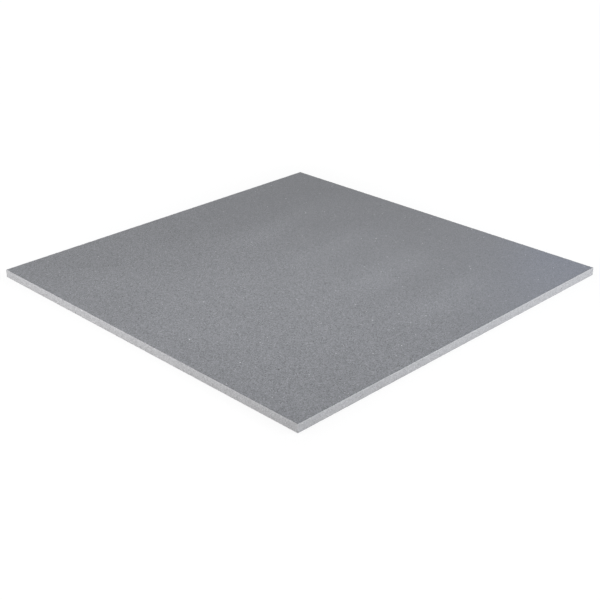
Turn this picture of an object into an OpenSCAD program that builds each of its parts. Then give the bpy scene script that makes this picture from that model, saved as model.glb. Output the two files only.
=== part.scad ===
// Square micro-terrazzo floor tile: one sawn, calibrated piece with bevelled wear-face arrises.
// Millimetres, +Z up. The origin is the centre of the bedding face, which lies on the floor.

/* [Format] */
// Length of the tile along X
tile_length = 600; // [150:50:1200]
// Width of the tile along Y
tile_width = 600; // [150:50:1200]
// Thickness from the bedding face to the wear face
tile_thickness = 12; // [8:1:30]

/* [Arrises] */
// Width of the bevel along each edge of the wear face
arris_width = 0.8; // [0.3:0.1:2]
// Depth of that bevel down the sawn side
arris_depth = 0.8; // [0.3:0.1:2]

/* [Hidden] */

half_length = tile_length / 2;
half_width = tile_width / 2;
side_height = tile_thickness - arris_depth;
terrazzo_grey = [0.55, 0.56, 0.58];

// Cross-section of the tile from one sawn side to the other, standing on the bedding face:
// square at the bottom, with a bevelled arris at each end of the wear face.
module sawn_section(half_span) {
    half_wear_face = half_span - arris_width;
    polygon([
        [-half_span, 0],
        [half_span, 0],
        [half_span, side_height],
        [half_wear_face, tile_thickness],
        [-half_wear_face, tile_thickness],
        [-half_span, side_height],
    ]);
}

// The section across X, swept along Y for the full width of the tile.
module slab_bevelled_in_x() {
    rotate([90, 0, 0])
        linear_extrude(height = tile_width, center = true)
            sawn_section(half_length);
}

// The section across Y, swept along X for the full length of the tile.
module slab_bevelled_in_y() {
    rotate([90, 0, 90])
        linear_extrude(height = tile_length, center = true)
            sawn_section(half_width);
}

// The two swept slabs meet in one piece, so the bevels run into each other in a mitre at every corner.
module terrazzo_tile() {
    color(terrazzo_grey)
        intersection() {
            slab_bevelled_in_x();
            slab_bevelled_in_y();
        }
}

terrazzo_tile();
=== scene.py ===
import math

import bmesh
import bpy
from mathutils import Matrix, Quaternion, Vector


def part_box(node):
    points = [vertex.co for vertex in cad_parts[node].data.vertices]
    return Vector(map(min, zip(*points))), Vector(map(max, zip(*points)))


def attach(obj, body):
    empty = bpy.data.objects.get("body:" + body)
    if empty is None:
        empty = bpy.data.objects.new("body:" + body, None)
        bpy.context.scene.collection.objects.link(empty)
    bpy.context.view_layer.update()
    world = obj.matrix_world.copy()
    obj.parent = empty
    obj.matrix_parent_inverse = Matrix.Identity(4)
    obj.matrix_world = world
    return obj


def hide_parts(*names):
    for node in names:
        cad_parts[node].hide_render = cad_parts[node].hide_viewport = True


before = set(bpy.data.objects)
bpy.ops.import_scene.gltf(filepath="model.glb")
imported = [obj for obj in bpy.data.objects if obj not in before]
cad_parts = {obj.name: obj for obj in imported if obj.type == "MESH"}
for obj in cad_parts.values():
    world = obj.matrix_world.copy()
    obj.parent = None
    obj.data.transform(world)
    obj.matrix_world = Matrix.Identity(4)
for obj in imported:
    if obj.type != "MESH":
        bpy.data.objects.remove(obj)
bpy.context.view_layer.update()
tileLow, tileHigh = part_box("terrazzo_tile")
tileSize = tileHigh - tileLow
tileCentre = (tileLow + tileHigh) / 2
print("frame loaded:", [round(length * 1000, 2) for length in tileSize], "mm")


viewpoint = {
    "azimuth": -44.656,  # degrees round the tile, 0 looks along +Y
    "elevation": 25.543,
    "roll": -0.344,
    "distance": 1.564,  # metres from the aim point
    "aimOffset": (-0.05638, -0.05804),  # from the middle of the bedding face
    "sensorWidth": 36,  # mm
    "lens": 67.79,  # mm
    "clip": (0.01, 50),  # metres
}


def addCamera(settings):
    azimuth = math.radians(settings["azimuth"])
    elevation = math.radians(settings["elevation"])
    back = Vector((
        math.sin(azimuth) * math.cos(elevation),
        -math.cos(azimuth) * math.cos(elevation),
        math.sin(elevation),
    ))
    aim = Vector((tileCentre.x, tileCentre.y, tileLow.z)) + Vector((*settings["aimOffset"], 0))
    level = (-back).to_track_quat("-Z", "Y")
    bpy.ops.object.camera_add(location=aim + back * settings["distance"])
    camera = bpy.context.object
    camera.name = "camera"
    camera.rotation_mode = "QUATERNION"
    camera.rotation_quaternion = level @ Quaternion((0, 0, 1), math.radians(settings["roll"]))
    camera.data.sensor_width = settings["sensorWidth"]
    camera.data.lens = settings["lens"]
    camera.data.clip_start, camera.data.clip_end = settings["clip"]
    bpy.context.scene.camera = camera


# Places and sizes in metres. A lamp without an aim of its own points at the middle of the tile.
studioLamps = {
    "keySoftbox": {"place": (0.693, -1.2, 0.8), "size": 0.5, "watts": 11.2, "colour": (0.93, 0.962, 1)},
    "leftSoftbox": {"place": (-0.675, 0.39, 0.45), "size": 0.5, "watts": 1.82},
    "lowFill": {"place": (-0.724, 0, 0.194), "size": 0.5, "watts": 0.67},
    "griddedOverhead": {
        "place": (0, 0, 1.2), "aim": (-0.1, -0.1, 0), "size": 0.3, "watts": 0.22,
        "spread": 40,  # degrees
    },
    "backFill": {
        "place": (2.0, 2.7, 0.22), "size": 0.4, "watts": 36,
        "glossy": False,  # brightens the far sides and puts no sheen on the wear face
    },
    "cornerSheen": {
        "place": (0.61, -0.1, 0.21), "aim": (0.18, -0.27, 0), "size": 0.2, "watts": 0.028,
        "colour": (0.05, 0.3, 1), "spread": 90,
        "diffuse": False,  # only its cool sheen shows, at the nearest corner
    },
}


def addLamps(lamps):
    for name, lamp in lamps.items():
        place = Vector(lamp["place"])
        bpy.ops.object.light_add(type="AREA", location=place)
        softbox = bpy.context.object
        softbox.name = name
        towards = Vector(lamp.get("aim", (0, 0, 0))) - place
        softbox.rotation_euler = towards.to_track_quat("-Z", "Y").to_euler()
        softbox.visible_camera = False
        softbox.visible_diffuse = lamp.get("diffuse", True)
        softbox.visible_glossy = lamp.get("glossy", True)
        softbox.data.size = lamp["size"]
        softbox.data.energy = lamp["watts"]
        softbox.data.color = lamp.get("colour", (1, 1, 1))
        softbox.data.spread = math.radians(lamp.get("spread", 180))


def newNode(tree, kind, values=None, **settings):
    node = tree.nodes.new(kind)
    for name, value in settings.items():
        setattr(node, name, value)
    for socket, value in (values or {}).items():
        node.inputs[socket].default_value = value
    return node


def mathNode(tree, operation, first, second=None):
    node = newNode(tree, "ShaderNodeMath", operation=operation)
    for socket, value in zip(node.inputs, (first, second)):
        if isinstance(value, bpy.types.NodeSocket):
            tree.links.new(value, socket)
        elif value is not None:
            socket.default_value = value
    return node.outputs[0]


def mapRange(tree, value, start, end):
    # Turns 0 to 1 into start to end
    node = newNode(tree, "ShaderNodeMapRange", {"To Min": start, "To Max": end})
    tree.links.new(value, node.inputs["Value"])
    return node


def fadeBetween(tree, value, start, end):
    # 0 up to start, 1 from end on, and smooth between; start may be the larger one
    limits = {"From Min": start, "From Max": end}
    fade = newNode(tree, "ShaderNodeMapRange", limits, interpolation_type="SMOOTHSTEP")
    tree.links.new(value, fade.inputs["Value"])
    return fade.outputs[0]


def seenDirectly(tree):
    # 1 for what the eye, a gloss or a glass sees, 0 for the light that falls on things
    rays = newNode(tree, "ShaderNodeLightPath").outputs
    either = mathNode(tree, "MAXIMUM", rays["Is Camera Ray"], rays["Is Glossy Ray"])
    return mathNode(tree, "MAXIMUM", either, rays["Is Transmission Ray"])


backdrop = {
    "floorSide": 8.0,  # metres
    "floorDrop": 0.0002,  # keeps the floor just clear of the bedding face
    "floorColour": (0.8, 0.8, 0.8, 1),  # what the floor throws back on the tile
    "shadowPart": (0.12, 0.12, 0.12, 1),  # of the white that is seen, the part that shows the shadow
    "ownGlow": (0.875, 0.93),  # the part that doesn't, beside the tile and further out; the weaker glow beside the tile paints a faint shade round its foot
    "glowReach": 0.12,  # metres from the one to the other
    "skyStrength": 0.5,
}


def glowWithPaintedShade(tree, settings):
    # The floor glows less beside the tile: this paints a faint shade round its foot and keeps the real
    # soft shadow there from being lost in white
    place = newNode(tree, "ShaderNodeTexCoord").outputs["Object"]
    half = (tileSize.x / 2, tileSize.y / 2, 0)
    for operation, other in (("ABSOLUTE", None), ("SUBTRACT", half), ("MAXIMUM", (0, 0, 0))):
        step = newNode(tree, "ShaderNodeVectorMath", operation=operation)
        tree.links.new(place, step.inputs[0])
        if other is not None:
            step.inputs[1].default_value = other
        place = step.outputs[0]
    away = newNode(tree, "ShaderNodeVectorMath", operation="LENGTH")
    tree.links.new(place, away.inputs[0])
    strength = mapRange(tree, away.outputs["Value"], *settings["ownGlow"])
    strength.inputs["From Max"].default_value = settings["glowReach"]
    return strength.outputs[0]


def addFloor(settings):
    floorHeight = tileLow.z - settings["floorDrop"]
    bpy.ops.mesh.primitive_plane_add(size=settings["floorSide"], location=(0, 0, floorHeight))
    floor = bpy.context.object
    floor.name = "floor"
    material = bpy.data.materials.new("paleFloor")
    material.use_nodes = True
    tree = material.node_tree
    tree.nodes.clear()
    link = tree.links.new
    bounce = newNode(tree, "ShaderNodeBsdfDiffuse", {"Color": settings["floorColour"]})
    shaded = newNode(tree, "ShaderNodeBsdfDiffuse", {"Color": settings["shadowPart"]})
    glow = newNode(tree, "ShaderNodeEmission", {"Color": (1, 1, 1, 1)})
    seen = newNode(tree, "ShaderNodeAddShader")
    choose = newNode(tree, "ShaderNodeMixShader")
    output = newNode(tree, "ShaderNodeOutputMaterial")
    link(glowWithPaintedShade(tree, settings), glow.inputs["Strength"])
    link(glow.outputs[0], seen.inputs[0])
    link(shaded.outputs[0], seen.inputs[1])
    link(seenDirectly(tree), choose.inputs[0])
    link(bounce.outputs[0], choose.inputs[1])
    link(seen.outputs[0], choose.inputs[2])
    link(choose.outputs[0], output.inputs["Surface"])
    floor.data.materials.append(material)


def lightWorld(settings):
    world = bpy.data.worlds.new("paleStudio")
    bpy.context.scene.world = world
    world.use_nodes = True
    tree = world.node_tree
    tree.nodes.clear()
    background = newNode(tree, "ShaderNodeBackground", {"Color": (1, 1, 1, 1)})
    output = newNode(tree, "ShaderNodeOutputWorld")
    dimmed = mapRange(tree, seenDirectly(tree), settings["skyStrength"], 1.0)
    tree.links.new(dimmed.outputs[0], background.inputs["Strength"])
    tree.links.new(background.outputs[0], output.inputs["Surface"])


bpy.ops.object.select_all(action="DESELECT")
bpy.context.scene.view_settings.view_transform = "Standard"
addCamera(viewpoint)
addLamps(studioLamps)
addFloor(backdrop)
lightWorld(backdrop)
print("camera, lamps and floor placed")


def newGroup(name, inputs, outputs):
    group = bpy.data.node_groups.new(name, "ShaderNodeTree")
    for socket, (kind, value) in inputs.items():
        made = group.interface.new_socket(socket, in_out="INPUT", socket_type="NodeSocket" + kind)
        if value is not None:
            made.default_value = value
    for socket, kind in outputs.items():
        group.interface.new_socket(socket, in_out="OUTPUT", socket_type="NodeSocket" + kind)
    return group, group.nodes.new("NodeGroupInput"), group.nodes.new("NodeGroupOutput")


def useGroup(tree, group, vector, **values):
    node = newNode(tree, "ShaderNodeGroup", node_tree=group)
    for socket, value in values.items():
        node.inputs[socket].default_value = value
    tree.links.new(vector, node.inputs["Vector"])
    return node


def mixColours(tree, factor, first, second, blend="MIX"):
    # The colour sockets of a Mix node share their names with its other kinds, so they go by number
    node = newNode(tree, "ShaderNodeMix", data_type="RGBA", blend_type=blend)
    for index, value in ((0, factor), (6, first), (7, second)):
        if isinstance(value, bpy.types.NodeSocket):
            tree.links.new(value, node.inputs[index])
        else:
            node.inputs[index].default_value = value
    return node.outputs[2]


grainCut = {
    "gapSpread": (0.2, 1.8),  # thinnest and widest binder round a grain, as part of its Gap
    "softEdge": 0.05,  # blur of a grain's outline, as part of its size
}


def grainGroup(cut):
    # Crushed grains of one sieve size, cut through wherever the surface meets them,
    # so they carry on over an arris
    group, given, result = newGroup(
        "crushedGrains",
        {
            "Vector": ("Vector", None),
            "Size": ("Float", 0.001),  # sieve size in metres
            "Share": ("Float", 1.0),  # part of the places that holds a grain
            "Gap": ("Float", 0.08),  # binder round a grain, as part of its size
            "Shift": ("Vector", None),
        },
        {"Mask": "Float", "Tone": "Float", "Dome": "Float"},
    )
    link = group.links.new
    moved = newNode(group, "ShaderNodeVectorMath", operation="ADD")
    link(given.outputs["Vector"], moved.inputs[0])
    link(given.outputs["Shift"], moved.inputs[1])
    fineness = mathNode(group, "DIVIDE", 1.0, given.outputs["Size"])
    cells = newNode(group, "ShaderNodeTexVoronoi", {"Randomness": 1.0})
    walls = newNode(group, "ShaderNodeTexVoronoi", {"Randomness": 1.0}, feature="DISTANCE_TO_EDGE")
    for voronoi in (cells, walls):
        link(moved.outputs[0], voronoi.inputs["Vector"])
        link(fineness, voronoi.inputs["Scale"])
    drawn = newNode(group, "ShaderNodeSeparateColor")  # three numbers of a cell's own
    link(cells.outputs["Color"], drawn.inputs[0])
    present = mathNode(group, "LESS_THAN", drawn.outputs["Green"], given.outputs["Share"])
    spread = mapRange(group, drawn.outputs["Blue"], *cut["gapSpread"])
    binder = mathNode(group, "MULTIPLY", given.outputs["Gap"], spread.outputs[0])
    depth = mathNode(group, "SUBTRACT", walls.outputs["Distance"], binder)
    body = fadeBetween(group, depth, 0.0, cut["softEdge"])
    link(mathNode(group, "MULTIPLY", body, present), result.inputs["Mask"])
    link(drawn.outputs["Red"], result.inputs["Tone"])
    dome = mathNode(group, "MAXIMUM", depth, 0.0)
    link(mathNode(group, "MULTIPLY", dome, present), result.inputs["Dome"])
    return group


# The clouds in the mix, where the grinding heads went, and where a band of painted shade lies, in metres
# on the tile
grindingHeadsAndPaintedShade = {
    "cloudRange": (0.3, 0.7),  # what the noise really covers, spread out to -1 to 1
    "bandSpacing": 0.117,
    "bandStart": 0.011,  # Y of one pale band's middle, where X is 0
    "bandSlant": 0.12,  # how far the bands turn from +X towards +Y
    "wander": 0.005,
    "narrowness": 2.0,  # of the bands' crests
    "setDown": 0.2,  # so that the bands change the mean tone less
    # axis, where nothing is left, and where all of it shows
    "bandFades": (("X", -0.05, 0.04), ("X", 0.22, 0.1), ("Y", 0.24, 0.16)),
    # the darker pass: a band of painted shade near the +Y edge
    "paintedShadeFades": (("Y", 0.15, 0.21), ("Y", 0.3, 0.25)),
    "filmFade": (-0.1, 0.22),  # along X, from a clean face to the thickest film
}


def driftGroup(bandsAndShade):
    # Slow change of tone: clouds, soft pale bands where the heads' passes overlapped, and one darker
    # pass along +Y, which is painted shade. The film of their slurry thins out towards -X.
    group, given, result = newGroup(
        "slowDrift",
        {
            "Vector": ("Vector", None),
            "Spacing": ("Float", 0.1),  # of the clouds, in metres
            "Band Share": ("Float", 0.0),
            "Painted Shade Band": ("Float", 0.0),
        },
        {"Drift": "Float", "Film": "Float"},
    )
    link = group.links.new
    clouds = newNode(group, "ShaderNodeTexNoise", {"Detail": 2.0, "Roughness": 0.45})
    link(given.outputs["Vector"], clouds.inputs["Vector"])
    link(mathNode(group, "DIVIDE", 1.0, given.outputs["Spacing"]), clouds.inputs["Scale"])
    signed = mapRange(group, clouds.outputs["Fac"], -1.0, 1.0)
    for socket, limit in zip(("From Min", "From Max"), bandsAndShade["cloudRange"]):
        signed.inputs[socket].default_value = limit
    cloudy = signed.outputs[0]
    place = newNode(group, "ShaderNodeSeparateXYZ")
    link(given.outputs["Vector"], place.inputs[0])
    wander = mathNode(group, "MULTIPLY", cloudy, bandsAndShade["wander"])

    slanted = mathNode(group, "MULTIPLY", place.outputs["X"], bandsAndShade["bandSlant"])
    middle = mathNode(group, "ADD", slanted, bandsAndShade["bandStart"])
    across = mathNode(group, "ADD", mathNode(group, "SUBTRACT", place.outputs["Y"], middle), wander)
    turns = mathNode(group, "DIVIDE", across, bandsAndShade["bandSpacing"])
    wave = mathNode(group, "COSINE", mathNode(group, "MULTIPLY", turns, math.tau))
    crest = mathNode(group, "MULTIPLY", mathNode(group, "ADD", wave, 1.0), 0.5)
    narrowed = mathNode(group, "POWER", crest, bandsAndShade["narrowness"])
    band = mathNode(group, "SUBTRACT", narrowed, bandsAndShade["setDown"])
    bands = mathNode(group, "MULTIPLY", band, given.outputs["Band Share"])
    for axis, start, end in bandsAndShade["bandFades"]:
        bands = mathNode(group, "MULTIPLY", bands, fadeBetween(group, place.outputs[axis], start, end))
    # a band of painted shade along +Y
    paintedShade = given.outputs["Painted Shade Band"]
    for axis, start, end in bandsAndShade["paintedShadeFades"]:
        paintedShade = mathNode(group, "MULTIPLY", paintedShade, fadeBetween(group, place.outputs[axis], start, end))
    pale = mathNode(group, "ADD", cloudy, bands)
    link(mathNode(group, "SUBTRACT", pale, paintedShade), result.inputs["Drift"])

    along = mathNode(group, "ADD", place.outputs["X"], wander)
    link(fadeBetween(group, along, *bandsAndShade["filmFade"]), result.inputs["Film"])
    return group


def toolMarkGroup():
    # Fine scratches that run level round the sides, or along one way of a ground face
    group, given, result = newGroup(
        "toolMarks",
        {"Vector": ("Vector", None), "Density": ("Vector", None)},
        {"Marks": "Float"},
    )
    link = group.links.new
    stretched = newNode(group, "ShaderNodeVectorMath", operation="MULTIPLY")
    link(given.outputs["Vector"], stretched.inputs[0])
    link(given.outputs["Density"], stretched.inputs[1])
    scratches = newNode(group, "ShaderNodeTexNoise", {"Scale": 1.0, "Detail": 3.0, "Roughness": 0.6})
    link(stretched.outputs[0], scratches.inputs["Vector"])
    link(scratches.outputs["Fac"], result.inputs["Marks"])
    return group


def arrisGroup():
    # How near a place is to the upper arrises (Rim) and the lower ones (Foot):
    # 1 on the arris, 0 beyond the reach
    group, given, result = newGroup(
        "arrisPaintedLightAndWear",
        {"Vector": ("Vector", None), "Reach": ("Float", 0.002)},
        {"Rim": "Float", "Foot": "Float"},
    )
    link = group.links.new
    place = newNode(group, "ShaderNodeSeparateXYZ")
    link(given.outputs["Vector"], place.inputs[0])
    insets = []
    for axis, middle, half in (("X", tileCentre.x, tileSize.x / 2), ("Y", tileCentre.y, tileSize.y / 2)):
        fromMiddle = mathNode(group, "ABSOLUTE", mathNode(group, "SUBTRACT", place.outputs[axis], middle))
        insets.append(mathNode(group, "SUBTRACT", half, fromMiddle))
    inset = mathNode(group, "MINIMUM", *insets)
    for socket, height in (("Rim", tileHigh.z), ("Foot", tileLow.z)):
        away = mathNode(group, "SUBTRACT", place.outputs["Z"], height)
        squares = [mathNode(group, "MULTIPLY", leg, leg) for leg in (inset, away)]
        distance = mathNode(group, "SQRT", mathNode(group, "ADD", *squares))
        part = mathNode(group, "DIVIDE", distance, given.outputs["Reach"])
        link(fadeBetween(group, part, 1.0, 0.0), result.inputs[socket])
    return group


grains = grainGroup(grainCut)
drift = driftGroup(grindingHeadsAndPaintedShade)
toolMarks = toolMarkGroup()
arrisPaintedLightAndWear = arrisGroup()

# Sieve sizes in metres, the share of the places that holds a grain, and the binder round it.
# The shifts keep the layers from lying cell on cell.
grainLayers = {
    "fines": {"Size": 0.0007, "Gap": 0.02, "Shift": (0.31, 0.07, 0.0)},
    "chips": {"Size": 0.0012, "Share": 0.8, "Gap": 0.07, "Shift": (0.0, 0.23, 0.11)},
    "whiteFlecks": {"Size": 0.0014, "Share": 0.0015, "Gap": 0.05, "Shift": (0.5, 0.4, 0.3)},
    "blackFlecks": {"Size": 0.0018, "Share": 0.0006, "Gap": 0.05, "Shift": (0.9, 0.1, 0.6)},
}
layerWeights = {"fines": 0.3, "chips": 0.95}  # how far a grain covers what lies under it


def terrazzoGroup(layers, weights):
    # The mix itself: fines and chips in the binder, and a few white and black flecks
    group, given, result = newGroup(
        "microTerrazzo",
        {
            "Vector": ("Vector", None),
            "Binder": ("Color", None),
            "Dark Grain": ("Color", None),
            "Pale Grain": ("Color", None),
            "White Fleck": ("Color", None),
            "Black Fleck": ("Color", None),
            "Contrast": ("Float", 1.0),
        },
        {"Color": "Color", "Relief": "Float"},
    )
    link = group.links.new
    made = {}
    for name, layer in layers.items():
        made[name] = useGroup(group, grains, given.outputs["Vector"], **layer)
    dark, pale = given.outputs["Dark Grain"], given.outputs["Pale Grain"]
    colour, relief = given.outputs["Binder"], 0.0
    for name, weight in weights.items():
        tone = mixColours(group, made[name].outputs["Tone"], dark, pale)
        part = mathNode(group, "MULTIPLY", made[name].outputs["Mask"], weight)
        part = mathNode(group, "MULTIPLY", part, given.outputs["Contrast"])
        colour = mixColours(group, part, colour, tone)
        relief = mathNode(group, "ADD", relief, made[name].outputs["Dome"])
    white, black = made["whiteFlecks"], made["blackFlecks"]
    paler = mixColours(group, white.outputs["Tone"], pale, given.outputs["White Fleck"])
    colour = mixColours(group, white.outputs["Mask"], colour, paler)
    colour = mixColours(group, black.outputs["Mask"], colour, given.outputs["Black Fleck"])
    link(colour, result.inputs["Color"])
    link(relief, result.inputs["Relief"])
    return group


microTerrazzo = terrazzoGroup(grainLayers, layerWeights)
print("grains, grinding, tool marks and wear ready for the finishes")

finishes = {
    "honedFace": {
        "mix": {
            "Binder": (0.179, 0.184, 0.199, 1),
            "Dark Grain": (0.051, 0.053, 0.06, 1),
            "Pale Grain": (0.319, 0.327, 0.347, 1),
            "White Fleck": (0.72, 0.72, 0.74, 1),
            "Black Fleck": (0.03, 0.03, 0.035, 1),
        },
        "contrast": 1.0,  # of the grains against the binder
        "film": 0.44,  # how far the slurry's film veils the grains, where it is thickest
        "brightness": 0.985,
        "driftAmount": 0.03,
        "grindingAndPaintedShade": {"Band Share": 3.5, "Painted Shade Band": 0.9},  # beside the clouds, which count as 1; the darker pass is painted shade
        "marks": (400.0, 400.0, 400.0),  # scratches to a metre, along X, Y and Z
        "marksAmount": 0.04,
        "rimTone": -0.07,  # change of tone on the upper arrises; here a darker strip, which is painted shade
        "footTone": 0.0,  # and on the lower ones
        "roughness": (0.48, 0.56),
        "relief": 0.00001,  # metres
    },
    "sawnSide": {
        "mix": {
            "Binder": (0.498, 0.497, 0.509, 1),
            "Dark Grain": (0.25, 0.248, 0.26, 1),
            "Pale Grain": (0.717, 0.715, 0.732, 1),
            "White Fleck": (0.86, 0.86, 0.87, 1),
            "Black Fleck": (0.16, 0.16, 0.17, 1),
        },
        "contrast": 0.7,
        "film": 0.0,
        "brightness": 1.0,
        "driftAmount": 0.03,
        "grindingAndPaintedShade": {},
        "marks": (55.0, 55.0, 2600.0),
        "marksAmount": 0.2,
        # a paler line along the upper arris, partly wear and partly painted highlight
        "rimTone": 0.1,
        "footTone": -0.1,
        "roughness": (0.78, 0.9),
        "relief": 0.00006,
    },
    "calibratedBack": {
        "mix": {
            "Binder": (0.36, 0.365, 0.375, 1),
            "Dark Grain": (0.26, 0.265, 0.275, 1),
            "Pale Grain": (0.5, 0.505, 0.515, 1),
            "White Fleck": (0.72, 0.72, 0.74, 1),
            "Black Fleck": (0.03, 0.03, 0.035, 1),
        },
        "contrast": 0.9,
        "film": 0.0,
        "brightness": 1.0,
        "driftAmount": 0.05,
        "grindingAndPaintedShade": {},
        "marks": (6.0, 1400.0, 100.0),
        "marksAmount": 0.24,
        "rimTone": 0.0,
        "footTone": 0.1,
        "roughness": (0.7, 0.85),
        "relief": 0.00004,
    },
}


def makeFinish(name, settings):
    material = bpy.data.materials.new(name)
    material.use_nodes = True
    tree = material.node_tree
    tree.nodes.clear()
    link = tree.links.new
    place = newNode(tree, "ShaderNodeTexCoord").outputs["Object"]
    stone = useGroup(tree, microTerrazzo, place, **settings["mix"])
    # Drift includes a band of painted shade on the wear face
    cloudy = useGroup(tree, drift, place, **settings["grindingAndPaintedShade"])
    marks = useGroup(tree, toolMarks, place, Density=settings["marks"])
    # Nearness to the arrises, for their tones: painted shade and highlight, and wear
    worn = useGroup(tree, arrisPaintedLightAndWear, place)
    veil = settings["film"] * settings["contrast"]
    veiled = mathNode(tree, "MULTIPLY", cloudy.outputs["Film"], -veil)
    link(mathNode(tree, "ADD", veiled, settings["contrast"]), stone.inputs["Contrast"])

    # tone = brightness + drift + marks + tones along the arrises: painted shade at the wear face's rim, a
    # paler line at the sides' rim that is partly wear and partly painted highlight, and darker feet on
    # the sides
    centred = mathNode(tree, "SUBTRACT", marks.outputs["Marks"], 0.5)
    tone = settings["brightness"]
    for value, amount in (
        (cloudy.outputs["Drift"], settings["driftAmount"]),
        (centred, settings["marksAmount"]),
        (worn.outputs["Rim"], settings["rimTone"]),
        (worn.outputs["Foot"], settings["footTone"]),
    ):
        tone = mathNode(tree, "ADD", mathNode(tree, "MULTIPLY", value, amount), tone)
    grey = newNode(tree, "ShaderNodeCombineColor")
    for channel in grey.inputs:
        link(tone, channel)
    colour = mixColours(tree, 1.0, stone.outputs["Color"], grey.outputs[0], "MULTIPLY")
    rough = mapRange(tree, marks.outputs["Marks"], *settings["roughness"])
    height = mathNode(tree, "ADD", stone.outputs["Relief"], marks.outputs["Marks"])
    bump = newNode(tree, "ShaderNodeBump", {"Strength": 1.0, "Distance": settings["relief"]})
    link(height, bump.inputs["Height"])

    shader = newNode(tree, "ShaderNodeBsdfPrincipled")
    link(colour, shader.inputs["Base Color"])
    link(rough.outputs[0], shader.inputs["Roughness"])
    link(bump.outputs[0], shader.inputs["Normal"])
    output = newNode(tree, "ShaderNodeOutputMaterial")
    link(shader.outputs[0], output.inputs["Surface"])
    return material


tileShape = {
    "cells": 60,  # faces across each flat face
    "arrisBevel": 0.0008,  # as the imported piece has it
    "groundPart": 0.5,  # upper part of the bevel that is ground as fine as the wear face
    "wornBand": 0.0008,  # strip on either side of an arris that can be nibbled
    "easeBand": 0.0025,  # strip beyond it, back to the wide faces
    "cutsPerCell": 19,  # makes short steps of 0.5 mm along the arrises
    "smoothAngle": 30,  # degrees
    # Bites out of the arrises: the deepest and their size in metres, and how sharply they start
    "nibbles": {
        "sawWander": {"depth": 0.00005, "size": 0.006, "contrast": 1.0, "level": 1.0},
        "crumbs": {"depth": 0.00025, "size": 0.0016, "contrast": 4.0, "level": 0.6},
    },
}

touching = 1e-6  # metres, nearer than this counts as the same place


def near(value, target):
    return abs(value - target) < touching


def insetOf(place):
    # How far a point lies inside the nearest side, seen from above
    return min(
        place.x - tileLow.x, tileHigh.x - place.x,
        place.y - tileLow.y, tileHigh.y - place.y,
    )


def onRing(place, inset, height):
    return near(insetOf(place), inset) and near(place.z, height)


def selectOnly(kind, wanted):
    # In edit mode, leaves just the edges or faces selected that wanted() says yes to
    bpy.ops.mesh.select_mode(type=kind)
    bpy.ops.mesh.select_all(action="DESELECT")
    mesh = bmesh.from_edit_mesh(bpy.context.object.data)
    for element in mesh.edges if kind == "EDGE" else mesh.faces:
        if wanted(element):
            element.select_set(True)
    bmesh.update_edit_mesh(bpy.context.object.data)


def makeSlab(shape):
    bpy.ops.object.select_all(action="DESELECT")
    bpy.ops.mesh.primitive_grid_add(
        x_subdivisions=shape["cells"], y_subdivisions=shape["cells"], size=1,
        location=(tileCentre.x, tileCentre.y, tileLow.z),
    )
    slab = bpy.context.object
    slab.name = slab.data.name = "terrazzoTile"
    slab.scale = (tileSize.x, tileSize.y, 1)
    bpy.ops.object.transform_apply(location=True, rotation=True, scale=True)
    bpy.ops.object.mode_set(mode="EDIT")
    bpy.ops.mesh.select_all(action="SELECT")
    bpy.ops.mesh.extrude_region_move(TRANSFORM_OT_translate={"value": (0, 0, tileSize.z)})
    bpy.ops.mesh.select_all(action="SELECT")
    bpy.ops.mesh.normals_make_consistent(inside=False)
    selectOnly("EDGE", lambda edge: all(onRing(v.co, 0, tileHigh.z) for v in edge.verts))
    bpy.ops.mesh.bevel(offset=shape["arrisBevel"], offset_type="OFFSET", segments=1, affect="EDGES")
    bpy.ops.object.mode_set(mode="OBJECT")
    return slab


def arrisRings(shape):
    # (inset, height) of each ring of edges that gets short steps, and how much it is nibbled
    bevel, worn = shape["arrisBevel"], shape["wornBand"]
    ground = bevel * shape["groundPart"]
    return {
        (bevel + worn, tileHigh.z): 0.0,
        (bevel, tileHigh.z): 1.0,
        (bevel - ground, tileHigh.z - ground): 0.5,
        (0, tileHigh.z - bevel): 1.0,
        (0, tileHigh.z - bevel - worn): 0.0,
        (0, tileLow.z + worn): 0.0,
        (0, tileLow.z): 1.0,
        (worn, tileLow.z): 0.0,
    }


def cutArrisSteps(shape):
    bevel, worn, ease = shape["arrisBevel"], shape["wornBand"], shape["easeBand"]
    bpy.ops.object.mode_set(mode="EDIT")
    for height in (tileHigh.z, tileLow.z):
        selectOnly("FACE", lambda face: all(near(v.co.z, height) for v in face.verts))
        bpy.ops.mesh.inset(thickness=worn)
        bpy.ops.mesh.inset(thickness=ease)
    under = tileHigh.z - bevel
    ground = tileHigh.z - bevel * shape["groundPart"]
    for height in (tileLow.z + worn, tileLow.z + worn + ease, under - worn - ease, under - worn, ground):
        bpy.ops.mesh.select_all(action="SELECT")
        bpy.ops.mesh.bisect(plane_co=(0, 0, height), plane_no=(0, 0, 1))
    rings = arrisRings(shape)
    selectOnly("EDGE", lambda edge: any(all(onRing(v.co, *ring) for v in edge.verts) for ring in rings))
    bpy.ops.mesh.subdivide(number_cuts=shape["cutsPerCell"])
    bpy.ops.object.mode_set(mode="OBJECT")


def giveFinishes(slab, shape):
    # Honed wear face with the upper part of its bevels, sawn sides, and the calibrated back
    slots = {}
    for index, (name, settings) in enumerate(finishes.items()):
        bpy.ops.object.material_slot_add()
        slab.material_slots[index].material = makeFinish(name, settings)
        slots[name] = index
    ground = tileHigh.z - shape["arrisBevel"] * shape["groundPart"]
    for face in slab.data.polygons:
        if face.center.z > ground:
            face.material_index = slots["honedFace"]
        elif face.center.z > tileLow.z + touching:
            face.material_index = slots["sawnSide"]
        else:
            face.material_index = slots["calibratedBack"]


mapLayout = {
    "wearFace": 0.74,  # side of the square for the wear face, on a map 1 wide
    "strips": (0.752, 0.062),  # where the first side's strip starts, and the step to the next
    "stripWidth": 0.056,
    "halves": (0.752, 0.246),  # where the back's two halves start above the wear face, and their height
    "halfWidth": 0.497,
    "levelFace": 0.9,  # a normal with more of Z than this belongs to the wear face or the back
}


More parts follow.
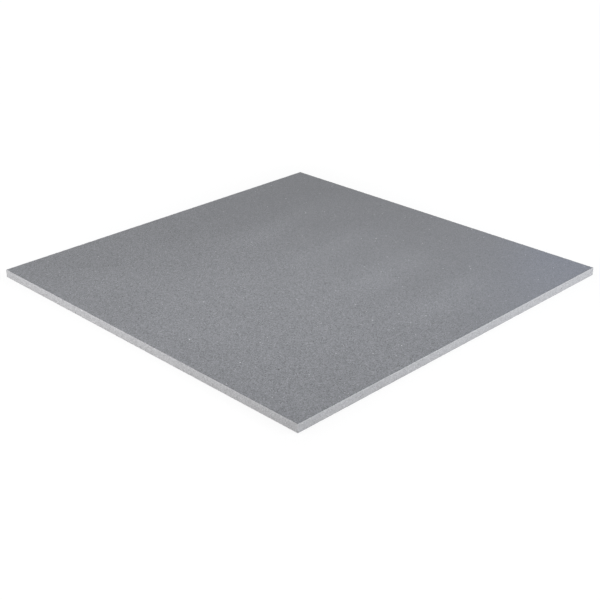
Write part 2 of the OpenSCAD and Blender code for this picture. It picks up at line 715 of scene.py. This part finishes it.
def mapPlace(place, face, shape, layout):
    across = (place.x - tileLow.x) / tileSize.x
    along = (place.y - tileLow.y) / tileSize.y
    if face.normal.z > layout["levelFace"]:
        return across * layout["wearFace"], along * layout["wearFace"]
    if face.normal.z < -layout["levelFace"]:
        back = int(face.center.y > tileCentre.y)
        start, height = layout["halves"]
        shifted = back * (1 - layout["halfWidth"])
        return shifted + across * layout["halfWidth"], start + (along * 2 - back) * height
    outward = 0 if abs(face.normal.x) > abs(face.normal.y) else 1
    strip = outward * 2 + int(face.normal[outward] > 0)
    start, step = layout["strips"]
    # up the side, then up the slope of the bevel
    sideHeight = tileSize.z - shape["arrisBevel"]
    climbed = place.z - tileLow.z
    slope = max(0, climbed - sideHeight)
    up = (climbed - slope + slope * math.sqrt(2)) / (sideHeight + shape["arrisBevel"] * math.sqrt(2))
    level = (across, along)[1 - outward]
    return start + strip * step + up * layout["stripWidth"], level * layout["wearFace"]


def layOutMap(slab, shape, layout):
    # The wear face takes the most room, the four sides stand beside it and the back lies above in
    # two halves.
    layer = slab.data.uv_layers.new(name="OFBake")
    for face in slab.data.polygons:
        for corner in face.loop_indices:
            place = slab.data.vertices[slab.data.loops[corner].vertex_index].co
            layer.data[corner].uv = mapPlace(place, face, shape, layout)


def nibbleArrises(slab, shape):
    arris = slab.vertex_groups.new(name="arris")
    for ring, weight in arrisRings(shape).items():
        found = [v.index for v in slab.data.vertices if onRing(v.co, *ring)]
        arris.add(found, weight, "REPLACE")
    for name, bite in shape["nibbles"].items():
        texture = bpy.data.textures.new(name, "CLOUDS")
        texture.noise_scale = bite["size"]
        texture.noise_depth = 1
        texture.contrast = bite["contrast"]
        texture.intensity = bite["level"]
        texture.use_clamp = True  # keeps the bites inward
        modifier = slab.modifiers.new(name, "DISPLACE")
        modifier.texture = texture
        modifier.texture_coords = "LOCAL"
        modifier.vertex_group = arris.name
        modifier.mid_level = 0
        modifier.strength = -bite["depth"]
        bpy.ops.object.modifier_apply(modifier=modifier.name)


tile = makeSlab(tileShape)
cutArrisSteps(tileShape)
print("slab made, arrises cut into short steps")
giveFinishes(tile, tileShape)
layOutMap(tile, tileShape, mapLayout)
print("finishes given, map laid out")
nibbleArrises(tile, tileShape)
bpy.ops.object.shade_smooth_by_angle(angle=math.radians(tileShape["smoothAngle"]))
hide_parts("terrazzo_tile")
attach(tile, "root")
print("tile made:", len(tile.data.polygons), "faces")
